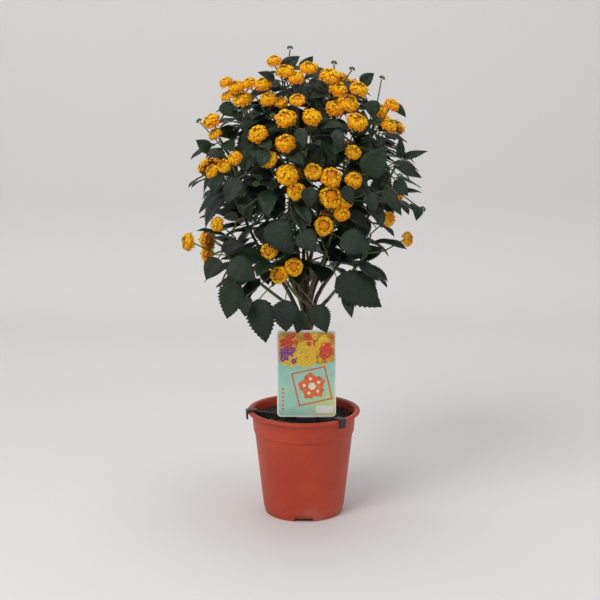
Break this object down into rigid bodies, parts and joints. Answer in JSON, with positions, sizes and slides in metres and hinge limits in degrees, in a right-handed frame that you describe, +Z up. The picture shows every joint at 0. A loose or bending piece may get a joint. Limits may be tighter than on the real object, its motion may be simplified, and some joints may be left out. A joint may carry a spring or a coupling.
{
  "type": "potted lantana",
  "caption": "Bushy flowering lantana with a woody stem, toothed leaves and round orange flower heads, in a tapered nursery pot with a label on a clip-in holder.",
  "frame": {"origin": "centre of the pot's foot on the ground", "axes": "+Z up; the front, with the label, faces -Y; +X is to the right of someone who faces the front"},
  "size_m": [0.3516, 0.354, 0.705],
  "materials": {
    "terracotta_plastic": "thin moulded plastic, slight sheen",
    "peat": "loose, rough, matt",
    "holder_black": "moulded, satin",
    "label_card": "coated print, semi-gloss",
    "bark": "rough bark",
    "leaf_green": "rough, veined, slightly glossy",
    "bloom_orange": "matt petals"
  },
  "bodies": {
    "root": {"heads_01": "bloom_orange", "heads_02": "bloom_orange", "heads_03": "bloom_orange", "heads_04": "bloom_orange", "heads_05": "bloom_orange", "heads_06": "bloom_orange", "heads_07": "bloom_orange", "heads_08": "bloom_orange", "heads_09": "bloom_orange", "heads_10": "bloom_orange", "heads_11": "bloom_orange", "heads_12": "bloom_orange", "heads_13": "bloom_orange", "heads_14": "bloom_orange", "heads_15": "bloom_orange", "heads_16": "bloom_orange", "heads_17": "bloom_orange", "heads_18": "bloom_orange", "heads_19": "bloom_orange", "heads_20": "bloom_orange", "heads_21": "bloom_orange", "heads_22": "bloom_orange", "heads_23": "bloom_orange", "heads_24": "bloom_orange", "heads_25": "bloom_orange", "heads_26": "bloom_orange", "heads_27": "bloom_orange", "heads_28": "bloom_orange", "heads_29": "bloom_orange", "heads_30": "bloom_orange", "heads_31": "bloom_orange", "heads_32": "bloom_orange", "heads_33": "bloom_orange", "heads_34": "bloom_orange", "heads_35": "bloom_orange", "heads_36": "bloom_orange", "heads_37": "bloom_orange", "heads_38": "bloom_orange", "heads_39": "bloom_orange", "label": "label_card", "label_holder": "holder_black", "pot": "terracotta_plastic", "shoot_back_left": "leaf_green", "shoot_back_low": "leaf_green", "shoot_back_right": "leaf_green", "shoot_back_top": "leaf_green", "shoot_front": "leaf_green", "shoot_front_low": "leaf_green", "shoot_front_right": "leaf_green", "shoot_left": "leaf_green", "shoot_left_low": "leaf_green", "shoot_left_top": "leaf_green", "shoot_right": "leaf_green", "shoot_right_low": "leaf_green", "shoot_right_top": "leaf_green", "shoot_top_left": "leaf_green", "shoot_top_right": "leaf_green", "soil": "peat", "trunk": "bark"}
  },
  "joints": []
}
